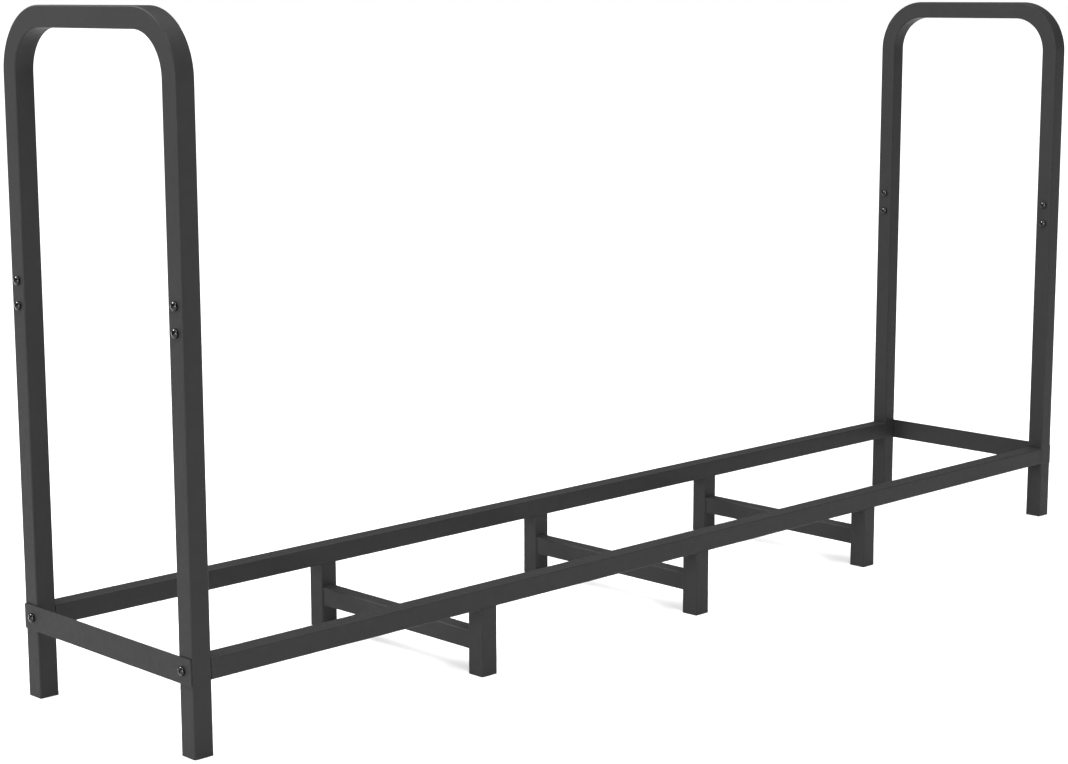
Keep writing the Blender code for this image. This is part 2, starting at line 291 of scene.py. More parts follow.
@dataclass(frozen=True)
class PowderCoat:
    """Satin charcoal powder coat with orange peel, thinner along outer edges, where its colour is lightened
    by edge wear and a painted edge highlight.
    """

    color: Color = (0.0206, 0.0206, 0.0210)
    patchiness: float = 0.07
    patch_band: Band = (0.36, 0.64)
    broad_patches: Pattern = Pattern(5.0, 3.0, 0.6)
    small_patches: Pattern = Pattern(46.0, 4.0, 0.62)
    small_share: float = 0.4
    # colour share along outer edges: edge wear together with a painted edge highlight
    wear_and_highlight_lift: float = 1.15
    edge_polish: float = 0.07
    edge_falloff: float = 2.0
    edge_chips: Pattern = Pattern(310.0, 5.0, 0.7)
    chip_band: Band = (0.42, 0.62)
    chip_strength: Band = (0.25, 1.0)
    fleck_lift: float = 1.35
    flecks: Pattern = Pattern(1500.0)
    fleck_band: Band = (0.66, 0.74)
    fleck_strength: float = 0.55
    roughness: float = 0.46
    roughness_swing: float = 0.06
    roughness_cloud: Pattern = Pattern(120.0, 5.0, 0.65)
    roughness_band: Band = (0.33, 0.67)
    specular: float = 0.09
    peel: Pattern = Pattern(420.0, 2.0, 0.45)
    peel_depth: float = 0.000030
    grain: Pattern = Pattern(2600.0)
    grain_depth: float = 0.000006

    def finish(self) -> Finish:
        """Build the coat.

        Returns:
            The finish.
        """
        graph = ShaderGraph("charcoal_powder_coat")
        base = self.patches(graph)
        # Lighten the outer edges, broken up by chips: partly edge wear, partly a painted edge highlight.
        broken = graph.remap(graph.noise(self.edge_chips), self.chip_band, self.chip_strength)
        worn_and_highlit = graph.math("POWER", graph.wear_and_highlight_mask(), self.edge_falloff)
        rubbed_and_highlit = graph.math("MULTIPLY", worn_and_highlit, broken)
        base = graph.blend(rubbed_and_highlit, base, shade(self.color, self.wear_and_highlight_lift))
        flecks = graph.remap(graph.noise(self.flecks), self.fleck_band, (0.0, self.fleck_strength))
        base = graph.blend(flecks, base, shade(self.color, self.fleck_lift))
        graph.feed(graph.shader.inputs["Base Color"], base)
        swing = (self.roughness - self.roughness_swing, self.roughness + self.roughness_swing)
        rough = graph.remap(graph.noise(self.roughness_cloud), self.roughness_band, swing)
        rough = graph.math("SUBTRACT", rough, graph.math("MULTIPLY", rubbed_and_highlit, self.edge_polish))
        graph.feed(graph.shader.inputs["Roughness"], rough)
        graph.shader.inputs["Specular IOR Level"].default_value = self.specular
        peel = graph.noise(self.peel)
        graph.bump((peel, self.peel_depth), (graph.noise(self.grain), self.grain_depth))
        return Finish(graph.material, Slot.POWDER_COAT)

    def patches(self, graph: ShaderGraph) -> bpy.types.NodeSocket:
        """Mottle the coat with broad and small patches.

        Args:
            graph: The coat's material.

        Returns:
            The mottled colour.
        """
        broad = graph.math("MULTIPLY", graph.noise(self.broad_patches), 1.0 - self.small_share)
        small = graph.math("MULTIPLY", graph.noise(self.small_patches), self.small_share)
        tone = graph.remap(graph.math("ADD", broad, small), self.patch_band, (0.0, 1.0))
        low = shade(self.color, 1.0 - self.patchiness)
        high = shade(self.color, 1.0 + self.patchiness)
        return graph.blend(tone, low, high)


@dataclass(frozen=True)
class BlackFastener:
    """Gloss black plating over turned steel, scuffed, with fine turning marks."""

    color: Color = (0.026, 0.0255, 0.025)
    rubbed_color: Color = (0.110, 0.107, 0.104)
    cloud: Pattern = Pattern(900.0, 4.0, 0.6)
    cloud_shades: Band = (0.8, 1.5)
    scuffs: Pattern = Pattern(2400.0, 5.0, 0.7)
    scuff_band: Band = (0.60, 0.72)
    scuff_strength: float = 0.6
    roughness: Band = (0.07, 0.24)
    turning: Pattern = Pattern(3000.0)
    turning_stretch: tuple[float, float, float] = (1.0, 0.12, 0.12)
    turning_depth: float = 0.000004

    def finish(self) -> Finish:
        """Build the plating.

        Returns:
            The finish.
        """
        graph = ShaderGraph("gloss_black_fastener")
        cloud = graph.noise(self.cloud)
        base = graph.blend(cloud, *(shade(self.color, share) for share in self.cloud_shades))
        scuffs = graph.remap(graph.noise(self.scuffs), self.scuff_band, (0.0, self.scuff_strength))
        base = graph.blend(scuffs, base, shade(self.rubbed_color))
        graph.feed(graph.shader.inputs["Base Color"], base)
        graph.feed(graph.shader.inputs["Roughness"], graph.remap(cloud, CLOUD_BAND, self.roughness))
        graph.shader.inputs["Metallic"].default_value = 1.0
        turning = graph.noise(self.turning, graph.stretched(self.turning_stretch))
        graph.bump((turning, self.turning_depth))
        return Finish(graph.material, Slot.BLACK_FASTENER)


@dataclass(frozen=True)
class ZincPlate:
    """Bright zinc plating with a faint spangle, on what is hidden inside the tubes."""

    color: Color = (0.56, 0.57, 0.59)
    roughness: Band = (0.34, 0.48)
    roughness_cloud: Pattern = Pattern(350.0, 4.0)
    spangle_scale: float = 180.0
    spangle_shades: Band = (0.86, 1.08)
    grain: Pattern = Pattern(1400.0, 3.0)
    grain_depth: float = 0.000005

    def finish(self) -> Finish:
        """Build the plating.

        Returns:
            The finish.
        """
        graph = ShaderGraph("zinc_plate")
        spangle = graph.node("TexVoronoi")
        graph.feed(spangle.inputs["Vector"], graph.place())
        spangle.inputs["Scale"].default_value = self.spangle_scale
        shades = (shade(self.color, share) for share in self.spangle_shades)
        graph.feed(graph.shader.inputs["Base Color"], graph.blend(spangle.outputs["Distance"], *shades))
        rough = graph.remap(graph.noise(self.roughness_cloud), CLOUD_BAND, self.roughness)
        graph.feed(graph.shader.inputs["Roughness"], rough)
        graph.shader.inputs["Metallic"].default_value = 1.0
        graph.bump((graph.noise(self.grain), self.grain_depth))
        return Finish(graph.material, Slot.PLATED_STEEL)


@dataclass(frozen=True)
class PlugPlastic:
    """Matt black moulded polyethylene with a fine spark-eroded grain."""

    color: Color = (0.02, 0.02, 0.021)
    cloud: Pattern = Pattern(160.0, 3.0)
    cloud_shades: Band = (0.85, 1.3)
    roughness: Band = (0.54, 0.70)
    grain: Pattern = Pattern(1800.0, 3.0)
    grain_depth: float = 0.00002

    def finish(self) -> Finish:
        """Build the plastic.

        Returns:
            The finish.
        """
        graph = ShaderGraph("black_plug_plastic")
        cloud = graph.noise(self.cloud)
        tone = graph.blend(cloud, *(shade(self.color, share) for share in self.cloud_shades))
        graph.feed(graph.shader.inputs["Base Color"], tone)
        graph.feed(graph.shader.inputs["Roughness"], graph.remap(cloud, CLOUD_BAND, self.roughness))
        graph.bump((graph.noise(self.grain), self.grain_depth))
        return Finish(graph.material, Slot.BLACK_PLASTIC)


@dataclass(frozen=True)
class PaleFloor:
    """Plain pale studio floor."""

    color: Color = (0.96, 0.96, 0.96)
    cloud: Pattern = Pattern(1.3)
    cloud_shades: Band = (0.995, 1.005)
    roughness: float = 0.9
    specular: float = 0.1

    def material(self) -> bpy.types.Material:
        """Build the floor's material, which fills no slot of the record.

        Returns:
            The material.
        """
        graph = ShaderGraph("pale_floor")
        shades = (shade(self.color, share) for share in self.cloud_shades)
        tone = graph.blend(graph.noise(self.cloud), *shades)
        graph.feed(graph.shader.inputs["Base Color"], tone)
        graph.shader.inputs["Roughness"].default_value = self.roughness
        graph.shader.inputs["Specular IOR Level"].default_value = self.specular
        return graph.material


# ---- Mesh work -----------------------------------------------------------------------------


@dataclass(frozen=True)
class Box:
    """An upright box, from its lowest to its highest corner."""

    low: Vector
    high: Vector

    @classmethod
    def of(cls, node: str) -> "Box":
        """Return the box of a frame node."""
        low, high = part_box(node)
        return cls(low, high)

    @property
    def centre(self) -> Vector:
        """Return the middle of the box."""
        return (self.low + self.high) / 2

    @property
    def size(self) -> Vector:
        """Return the sides of the box."""
        return self.high - self.low


def add_object(
    name: str, data: bpy.types.Mesh | bpy.types.Light | bpy.types.Camera
) -> bpy.types.Object:
    """Add an object to the scene.

    Args:
        name: The object's name.
        data: Its mesh, light or camera.

    Returns:
        The object.
    """
    made = bpy.data.objects.new(name, data)
    bpy.context.scene.collection.objects.link(made)
    return made


def smooth(mesh: bpy.types.Mesh, sharp_degrees: float) -> bpy.types.Mesh:
    """Shade a mesh smooth, but for its sharp edges.

    Args:
        mesh: The mesh.
        sharp_degrees: Edges that turn more than this stay sharp.

    Returns:
        The same mesh.
    """
    mesh.shade_smooth()
    mesh.set_sharp_from_angle(angle=math.radians(sharp_degrees))
    return mesh


def close_up(bm: bmesh.types.BMesh) -> None:
    """Merge doubles and turn every face outwards.

    Args:
        bm: A closed shape.
    """
    bmesh.ops.remove_doubles(bm, verts=bm.verts, dist=TINY)
    bmesh.ops.recalc_face_normals(bm, faces=bm.faces)
    if bm.calc_volume(signed=True) < 0:
        bmesh.ops.reverse_faces(bm, faces=bm.faces)


def mesh_from(bm: bmesh.types.BMesh, name: str, sharp_degrees: float = 40.0) -> bpy.types.Mesh:
    """Store a bmesh as a smooth-shaded mesh and free it.

    Args:
        bm: The shape.
        name: The mesh's name.
        sharp_degrees: Edges that turn more than this stay sharp.

    Returns:
        The mesh.
    """
    mesh = bpy.data.meshes.new(name)
    bm.to_mesh(mesh)
    bm.free()
    return smooth(mesh, sharp_degrees)


def add_piece(
    name: str,
    mesh: bpy.types.Mesh,
    finish: Finish,
    nodes: Sequence[str] = (),
    even_shading: bool = True,
) -> None:
    """Add a finished piece, whose place is in its mesh.

    Args:
        name: The piece's name.
        mesh: Its mesh.
        finish: Its finish.
        nodes: Frame nodes that it stands for.
        even_shading: Whether large flat faces keep their shading flat.
    """
    piece = add_object(name, mesh)
    mesh.materials.clear()
    mesh.materials.append(finish.material)
    if even_shading:
        weighted = piece.modifiers.new("even_shading", "WEIGHTED_NORMAL")
        weighted.keep_sharp = True
        weighted.weight = FLAT_FACE_WEIGHT
    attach(piece, BODY)
    if nodes:
        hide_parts(*nodes)


def carve(
    mesh: bpy.types.Mesh, tools: Iterable[bmesh.types.BMesh], operation: str = "DIFFERENCE"
) -> bpy.types.Mesh:
    """Apply Boolean tools to a mesh.

    Args:
        mesh: The mesh to work on.
        tools: Closed shapes, freed afterwards.
        operation: A Boolean modifier operation.

    Returns:
        The worked mesh.
    """
    block = add_object("carve_block", mesh)
    helpers = []
    for tool in tools:
        tool_mesh = bpy.data.meshes.new("carve_tool")
        tool.to_mesh(tool_mesh)
        tool.free()
        helper = add_object("carve_tool", tool_mesh)
        helpers.append(helper)
        modifier = block.modifiers.new("carve", "BOOLEAN")
        modifier.operation = operation
        modifier.solver = "EXACT"
        modifier.object = helper
    depsgraph = bpy.context.evaluated_depsgraph_get()
    worked = bpy.data.meshes.new_from_object(block.evaluated_get(depsgraph))
    for done in (block, *helpers):
        bpy.data.objects.remove(done, do_unlink=True)
    return worked


def extrude_edges(
    bm: bmesh.types.BMesh, edges: list[bmesh.types.BMEdge], matrix: Matrix
) -> list[bmesh.types.BMEdge]:
    """Extrude edge loops and carry the new loops by a matrix.

    Args:
        bm: The shape.
        edges: The loops' edges.
        matrix: What carries the new loops.

    Returns:
        The new loops' edges.
    """
    made = bmesh.ops.extrude_edge_only(bm, edges=edges)["geom"]
    verts = {item for item in made if isinstance(item, bmesh.types.BMVert)}
    bmesh.ops.transform(bm, matrix=matrix, verts=list(verts))
    new_edges = [item for item in made if isinstance(item, bmesh.types.BMEdge)]
    return [edge for edge in new_edges if verts.issuperset(edge.verts)]


def round_off(
    bm: bmesh.types.BMesh,
    geom: list[bmesh.types.BMVert] | list[bmesh.types.BMEdge],
    offset: float,
    segments: int,
    affect: str = "EDGES",
) -> list[bmesh.types.BMVert]:
    """Round off edges or corners.

    Args:
        bm: The shape.
        geom: The edges or corners.
        offset: How far the rounding reaches.
        segments: Steps across it.
        affect: EDGES or VERTICES.

    Returns:
        The points of the rounding.
    """
    rounded = bmesh.ops.bevel(
        bm,
        geom=geom,
        offset=offset,
        segments=segments,
        profile=0.5,
        affect=affect,
        material=-1,
    )
    return rounded["verts"]


def rounded_plate(
    bm: bmesh.types.BMesh, width: float, height: float, corner: float, segments: int
) -> bmesh.types.BMFace:
    """Draw a rectangle with round corners about the origin, as one face in the XY plane.

    Args:
        bm: The empty shape to draw in.
        width: The side along X.
        height: The side along Y.
        corner: The radius of its corners.
        segments: Steps round each corner.

    Returns:
        The face.
    """
    bmesh.ops.create_grid(bm, x_segments=1, y_segments=1, size=0.5)
    bmesh.ops.scale(bm, vec=(width, height, 1.0), verts=bm.verts)
    round_off(bm, list(bm.verts), corner, segments, "VERTICES")
    return bm.faces[:][0]


def lathe(profile: Sequence[tuple[float, float]], segments: int, closed: bool = False) -> bmesh.types.BMesh:
    """Turn a profile about Z.

    Args:
        profile: Radius and height of each point.
        segments: Steps in the full turn.
        closed: Whether the last point joins the first, as on a ring.

    Returns:
        The turned shape.
    """
    bm = bmesh.new()
    verts = [bm.verts.new((radius, 0.0, height)) for radius, height in profile]
    pairs = list(zip(verts, verts[1:]))
    if closed:
        pairs.append((verts[-1], verts[0]))
    edges = [bm.edges.new(pair) for pair in pairs]
    bmesh.ops.spin(
        bm,
        geom=verts + edges,
        cent=(0.0, 0.0, 0.0),
        axis=(0.0, 0.0, 1.0),
        angle=2 * math.pi,
        steps=segments,
        use_merge=True,
    )
    close_up(bm)
    return bm


@dataclass(frozen=True)
class TubeSection:
    """The rounded rectangular section of a tube."""

    width: float
    height: float
    wall: float
    corner: float = 0.002
    corner_segments: int = 6
    end_break: float = 0.00025
    end_break_segments: int = 2

    def loops(self, bm: bmesh.types.BMesh) -> list[bmesh.types.BMEdge]:
        """Draw the section round the origin in the XY plane.

        Args:
            bm: The empty shape to draw in.

        Returns:
            The edges of the outer and inner outline.
        """
        bm.verts.layers.float.new(EDGE_WEAR_AND_HIGHLIGHT_LAYER)
        middle = rounded_plate(bm, self.width, self.height, self.corner, self.corner_segments)
        bmesh.ops.inset_region(bm, faces=[middle], thickness=self.wall, use_even_offset=True)
        inner = set(middle.edges)
        outer = {edge for edge in bm.edges if edge.is_boundary}
        self.mark_wear_and_highlight(bm, {vert for edge in outer for vert in edge.verts})
        spare = [edge for edge in bm.edges if edge not in inner | outer]
        bmesh.ops.delete(bm, geom=list(bm.faces), context="FACES_ONLY")
        bmesh.ops.delete(bm, geom=spare, context="EDGES")
        return list(outer | inner)

    def mark_wear_and_highlight(self, bm: bmesh.types.BMesh, outline: set[bmesh.types.BMVert]) -> None:
        """Store how near each point of the outer outline lies to the middle of a corner, for the coat's
        edge wear and painted edge highlight.

        Args:
            bm: The shape.
            outline: The points of the outer outline.
        """
        layer = bm.verts.layers.float[EDGE_WEAR_AND_HIGHLIGHT_LAYER]
        straight_x = self.width / 2 - self.corner
        straight_y = self.height / 2 - self.corner
        for vert in outline:
            angle = math.atan2(abs(vert.co.y) - straight_y, abs(vert.co.x) - straight_x)
            vert[layer] = max(0.0, 1.0 - abs(angle - math.pi / 4) / (math.pi / 4))

    def close_ends(self, bm: bmesh.types.BMesh, *ends: list[bmesh.types.BMEdge]) -> None:
        """Close the ends of a tube between its outer and inner outlines.

        Args:
            bm: The shape.
            *ends: For each end, the edges of both outlines.
        """
        for edges in ends:
            bmesh.ops.bridge_loops(bm, edges=edges)
        close_up(bm)

    def straight(self, length: float) -> bmesh.types.BMesh:
        """Build a tube along +Z from the origin.

        Args:
            length: The tube's length.

        Returns:
            The tube.
        """
        bm = bmesh.new()
        start = self.loops(bm)
        end = extrude_edges(bm, start, Matrix.Translation((0.0, 0.0, length)))
        self.close_ends(bm, start, end)
        self.break_ends(bm, (Vector((0, 0, 0)), Vector((0, 0, length))))
        return bm

    def break_ends(self, bm: bmesh.types.BMesh, ends: Sequence[Vector]) -> None:
        """Round off the outer edge of each cut end.

        Args:
            bm: The tube.
            ends: The middle of each cut, which lies level.
        """
        edges = []
        for edge in bm.edges:
            ring = len({abs(face.normal.z) > 0.5 for face in edge.link_faces}) == 2
            if ring and any(all(self.on_rim(vert.co - end) for vert in edge.verts) for end in ends):
                edges.append(edge)
        round_off(bm, edges, self.end_break, self.end_break_segments)

    def on_rim(self, offset: Vector) -> bool:
        """Return whether a point, taken from the middle of a cut, is on its outer outline."""
        inside = min(self.width / 2 - abs(offset.x), self.height / 2 - abs(offset.y))
        return abs(offset.z) < TINY and inside < self.wall / 2


def moved(mesh: bpy.types.Mesh, matrix: Matrix, name: str) -> bpy.types.Mesh:
    """Return a copy of a mesh, carried by a matrix.

    Args:
        mesh: The mesh to copy.
        matrix: What carries it.
        name: The copy's name.

    Returns:
        The copy.
    """
    copy = mesh.copy()
    copy.name = name
    copy.transform(matrix)
    return copy


# ---- Sub-assemblies ------------------------------------------------------------------------


@dataclass
class Hoop:
    """One tube bent into an upside-down U that stands on two posts."""

    end: str
    coat: Finish
    wall: float = TUBE_WALL
    bend_radius: float = 0.076
    bend_steps: int = 24

    def build(self) -> None:
        """Build the hoop and dress it."""
        node = f"{self.end}_hoop"
        box = Box.of(node)
        foot_z = box.low.z - FIT_GAP
        side = box.size.x
        section = TubeSection(side, side, self.wall)
        leg_y = box.size.y / 2 - side / 2
        straight_y = leg_y - self.bend_radius
        bend_z = box.high.z - side / 2 - self.bend_radius
        bm = bmesh.new()
        start = section.loops(bm)
        bmesh.ops.translate(bm, verts=bm.verts, vec=(box.centre.x, -leg_y, foot_z))
        loops = extrude_edges(bm, start, Matrix.Translation((0.0, 0.0, bend_z - foot_z)))
        loops = self.bend(bm, loops, Vector((box.centre.x, -straight_y, bend_z)))
        loops = extrude_edges(bm, loops, Matrix.Translation((0.0, 2 * straight_y, 0.0)))
        loops = self.bend(bm, loops, Vector((box.centre.x, straight_y, bend_z)))
        end = extrude_edges(bm, loops, Matrix.Translation((0.0, 0.0, foot_z - bend_z)))
        section.close_ends(bm, start, end)
        cuts = [Vector((box.centre.x, sign * leg_y, foot_z)) for sign in (-1, 1)]
        section.break_ends(bm, cuts)
        add_piece(f"{node}_tube", mesh_from(bm, f"{node}_tube"), self.coat, [node])
        LOG.info("%s hoop: one bent tube, %.0f mm wide", self.end, box.size.y * 1000)

    def bend(
        self, bm: bmesh.types.BMesh, loops: list[bmesh.types.BMEdge], pivot: Vector
    ) -> list[bmesh.types.BMEdge]:
        """Carry the loops through a quarter turn, over the top towards +Y.

        Args:
            bm: The shape.
            loops: The loops' edges.
            pivot: A point on the bend's axis, which runs along X.

        Returns:
            The edges of the loops at the end of the bend.
        """
        turned = bmesh.ops.spin(
            bm,
            geom=loops + list({vert for edge in loops for vert in edge.verts}),
            cent=pivot,
            axis=(1.0, 0.0, 0.0),
            angle=-math.pi / 2,
            steps=self.bend_steps,
            use_merge=False,
        )
        return [item for item in turned["geom_last"] if isinstance(item, bmesh.types.BMEdge)]


@dataclass
class StraightTube:
    """A straight length of tube that stands for one frame node."""

    node: str
    axis: Axis
    coat: Finish
    stretch: tuple[float, float] = (0.0, 0.0)
    wall: float = TUBE_WALL

    def build(self) -> None:
        """Build the tube, stretched at its ends to close the gap to what it meets."""
        box = Box.of(self.node)
        turn = self.axis.matrix()
        along = turn @ Vector((0.0, 0.0, 1.0))
        size = turn.inverted() @ box.size
        section = TubeSection(abs(size.x), abs(size.y), self.wall)
        length = abs(size.z) + sum(self.stretch)
        start = box.centre - along * (abs(size.z) / 2 + self.stretch[0])
        mesh = mesh_from(section.straight(length), f"{self.node}_tube")
        mesh.transform(Matrix.Translation(start) @ turn)
        add_piece(f"{self.node}_tube", mesh, self.coat, [self.node])
        LOG.info("%s: straight tube, %.0f mm long", self.node, length * 1000)


@dataclass
class EndBar:
    """A flat strip with rounded corners over the outer faces of two posts."""

    end: str
    coat: Finish
    corner: float = 0.002
    corner_segments: int = 5
    edge_break: float = 0.0004
    edge_break_segments: int = 3

    def build(self) -> None:
        """Build the bar and dress it."""
        node = f"{self.end}_end_bar"
        box = Box.of(node)
        bm = bmesh.new()
        layer = bm.verts.layers.float.new(EDGE_WEAR_AND_HIGHLIGHT_LAYER)
        rounded_plate(bm, box.size.z, box.size.y, self.corner, self.corner_segments)
        made = bmesh.ops.extrude_face_region(bm, geom=list(bm.faces))["geom"]
        top = [item for item in made if isinstance(item, bmesh.types.BMVert)]
        bmesh.ops.translate(bm, verts=top, vec=(0.0, 0.0, box.size.x))
        close_up(bm)
        rims = [edge for edge in bm.edges if abs(edge.verts[0].co.z - edge.verts[1].co.z) < TINY]
        # Mark the rounded rims for the coat's edge wear and painted edge highlight.
        for vert in round_off(bm, rims, self.edge_break, self.edge_break_segments):
            inside = self.edge_break * 0.9 < vert.co.z < box.size.x - self.edge_break * 0.9
            on_face = vert.co.z < TINY or vert.co.z > box.size.x - TINY
            vert[layer] = 0.0 if on_face or inside else 1.0
        mesh = mesh_from(bm, f"{node}_strip", 60.0)
        inner_face = Vector((box.low.x, box.centre.y, box.centre.z))
        mesh.transform(Matrix.Translation(inner_face) @ Axis.X.matrix())
        add_piece(f"{node}_strip", mesh, self.coat, [node])
        LOG.info("%s end bar: flat strip, %.1f mm thick", self.end, box.size.x * 1000)


@dataclass
class ScrewMaker:
    """Makes domed machine screws with a cross recess."""

    black: Finish
    shank: float = 0.006
    head_height: float = 0.0045
    rim_height: float = 0.0015
    rim_chamfer: float = 0.0002
    dome_steps: int = 9
    turns: int = 40
    thread_pitch: float = 0.001
    thread_depth: float = 0.00055
    threaded: float = 0.010
    recess_length: float = 0.0078
    recess_width: float = 0.0016
    recess_depth: float = 0.0030
    recess_taper: tuple[float, float] = (0.5, 0.7)  # what is left of length and width at its floor
    recess_angles: tuple[float, float] = (45.0, 135.0)
    sharp_degrees: float = 32.0
    templates: dict[int, bpy.types.Mesh] = field(default_factory=dict)

    def profile(self, head: float, length: float) -> list[tuple[float, float]]:
        """List the screw's turned profile, its head below z = 0.

        Args:
            head: Diameter of the head.
            length: Length of the shank.

        Returns:
            Radius and height of each point.
        """
        dome = self.head_height - self.rim_height
        points = [(0.0, -self.head_height)]
        for step in range(1, self.dome_steps + 1):
            angle = step * math.pi / 2 / self.dome_steps
            points.append((head / 2 * math.sin(angle), -self.rim_height - dome * math.cos(angle)))
        points += [(head / 2, -self.rim_chamfer), (head / 2 - self.rim_chamfer, 0.0)]
        radius = self.shank / 2
        start = length - self.threaded
        points += [(radius, 0.0), (radius, start)]
        for turn in range(int(round(self.threaded / self.thread_pitch)) - 1):
            height = start + turn * self.thread_pitch
            points.append((radius - self.thread_depth, height + self.thread_pitch / 2))
            points.append((radius, height + self.thread_pitch))
        points += [(radius - self.thread_depth, length), (0.0, length)]
        return points

    def recess_arm(self, turn: float) -> bmesh.types.BMesh:
        """Build one tapered arm of the cross recess.

        Args:
            turn: Its angle about the screw's axis.

        Returns:
            The arm as a cutting tool.
        """
        bm = bmesh.new()
        bmesh.ops.create_cube(bm, size=1.0)
        floor = [vert for vert in bm.verts if vert.co.z > 0]
        bmesh.ops.scale(bm, vec=(*self.recess_taper, 1.0), verts=floor)
        depth = self.recess_depth + self.head_height
        bmesh.ops.scale(bm, vec=(self.recess_length, self.recess_width, depth), verts=bm.verts)
        lift = -self.head_height + self.recess_depth - depth / 2
        matrix = Matrix.Rotation(turn, 4, "Z") @ Matrix.Translation((0.0, 0.0, lift))
        bmesh.ops.transform(bm, matrix=matrix, verts=bm.verts)
        return bm

    def template(self, head: float, length: float) -> bpy.types.Mesh:
        """Return the screw of this length, made once.

        Args:
            head: Diameter of the head.
            length: Length of the shank.

        Returns:
            The screw's mesh, its head below z = 0.
        """
        key = round(length * 1e5)
        if key not in self.templates:
            mesh = mesh_from(lathe(self.profile(head, length), self.turns), "screw_blank")
            arms = (self.recess_arm(math.radians(angle)) for angle in self.recess_angles)
            self.templates[key] = smooth(carve(mesh, arms), self.sharp_degrees)
        return self.templates[key]

    def build(self, node: str, axis: Axis) -> None:
        """Build a screw that stands for a frame node.

        Args:
            node: The frame node.
            axis: The direction that its shank points in.
        """
        box = Box.of(node)
        length = box.size.x - self.head_height
        under_head = box.low.x + self.head_height if axis is Axis.X else box.high.x - self.head_height
        place = Matrix.Translation((under_head, box.centre.y, box.centre.z)) @ axis.matrix()
        mesh = moved(self.template(box.size.y, length), place, f"{node}_body")
        add_piece(f"{node}_body", mesh, self.black, [node], even_shading=False)
        LOG.info("%s: %.0f mm under the head", node, length * 1000)


@dataclass
class NutMaker:
    """Makes hexagon nuts with the curved chamfers of the real thing."""

    black: Finish
    flats: float = 0.010
    chamfer: float = 0.0007
    face_inset: float = 0.0001  # the round faces end this far inside the flats
    corner_margin: float = 0.0002  # the rounding barrel clears the corners by this
    bore: float = 0.0061
    lead_in: float = 0.0004
    turns: int = 48
    sharp_degrees: float = 20.0
    made: bpy.types.Mesh | None = None

    def template(self, height: float) -> bpy.types.Mesh:
        """Return the nut along +Z from the origin, made once.

        Args:
            height: The nut's height.

        Returns:
            The nut's mesh.
        """
        if self.made is None:
            corner = self.flats / math.sqrt(3)
            prism = bmesh.new()
            bmesh.ops.create_cone(
                prism,
                cap_ends=True,
                segments=6,
                radius1=corner,
                radius2=corner,
                depth=height,
                matrix=Matrix.Translation((0.0, 0.0, height / 2)),
            )
            over = corner + self.corner_margin
            face = self.flats / 2 - self.face_inset
            inner = self.bore / 2
            ring = [
                (inner + self.lead_in, 0.0),
                (face, 0.0),
                (over, self.chamfer),
                (over, height - self.chamfer),
                (face, height),
                (inner + self.lead_in, height),
                (inner, height - self.lead_in),
                (inner, self.lead_in),
            ]
            barrel = lathe(ring, self.turns, closed=True)
            worked = carve(mesh_from(prism, "nut_blank"), [barrel], "INTERSECT")
            self.made = smooth(worked, self.sharp_degrees)
        return self.made

    def build(self, node: str) -> None:
        """Build a nut that stands for a frame node.

        Args:
            node: The frame node.
        """
        box = Box.of(node)
        place = Matrix.Translation((box.low.x, box.centre.y, box.centre.z)) @ Axis.X.matrix()
        mesh = moved(self.template(box.size.x), place, f"{node}_body")
        add_piece(f"{node}_body", mesh, self.black, [node], even_shading=False)
        LOG.info("%s: hexagon nut", node)


@dataclass
class FootPlug:
    """A moulded plug with gripping ribs in the foot of a tube."""

    node: str
    plastic: Finish
    corner: float = 0.0015
    corner_segments: int = 3
    wall: float = 0.002
    floor: float = 0.003
    rib_depth: float = 0.0005
    ribs: int = 3

    def build(self) -> None:
        """Build the plug and dress it."""
        box = Box.of(self.node)
        side = box.size.x
        bm = bmesh.new()
        base = rounded_plate(bm, side, side, self.corner, self.corner_segments)
        loop = list(base.edges)
        for share, height in self.steps(side, box.size.z):
            loop = self.rise(bm, loop, share, height)
        top = bmesh.ops.edgeloop_fill(bm, edges=loop)["faces"]
        bmesh.ops.inset_region(bm, faces=top, thickness=self.wall, use_even_offset=True)
        made = bmesh.ops.extrude_face_region(bm, geom=top)["geom"]
        verts = [item for item in made if isinstance(item, bmesh.types.BMVert)]
        bmesh.ops.translate(bm, verts=verts, vec=(0.0, 0.0, self.floor - box.size.z))
        bmesh.ops.delete(bm, geom=top, context="FACES")
        close_up(bm)
        bmesh.ops.translate(bm, verts=bm.verts, vec=(box.centre.x, box.centre.y, box.low.z))
        mesh = mesh_from(bm, f"{self.node}_moulding")
        add_piece(f"{self.node}_moulding", mesh, self.plastic, [self.node])
        LOG.info("%s: ribbed plug", self.node)

    def steps(self, side: float, height: float) -> list[tuple[float, float]]:
        """List the plug's outline from its foot up.

        Args:
            side: The plug's full side.
            height: Its height.

        Returns:
            For each level its side and its height.
        """
        thin = side - 2 * self.rib_depth
        levels = [(side, self.floor), (thin, self.floor + self.rib_depth)]
        pitch = (height - self.floor) / (self.ribs + 1)
        for rib in range(1, self.ribs + 1):
            middle = self.floor + rib * pitch
            levels += [(thin, middle - pitch / 4), (side, middle), (thin, middle + self.rib_depth)]
        levels.append((thin, height))
        return levels

    @staticmethod
    def rise(
        bm: bmesh.types.BMesh, loop: list[bmesh.types.BMEdge], side: float, height: float
    ) -> list[bmesh.types.BMEdge]:
        """Extrude the outline up to the next level.

        Args:
            bm: The shape.
            loop: The edges of the outline so far.
            side: The side at the next level.
            height: Its height.

        Returns:
            The edges of the new outline.
        """
        now = max(abs(vert.co.x) for edge in loop for vert in edge.verts) * 2
        level = loop[0].verts[0].co.z
        grow = Matrix.Diagonal((side / now, side / now, 1.0, 1.0))
        return extrude_edges(bm, loop, Matrix.Translation((0.0, 0.0, height - level)) @ grow)


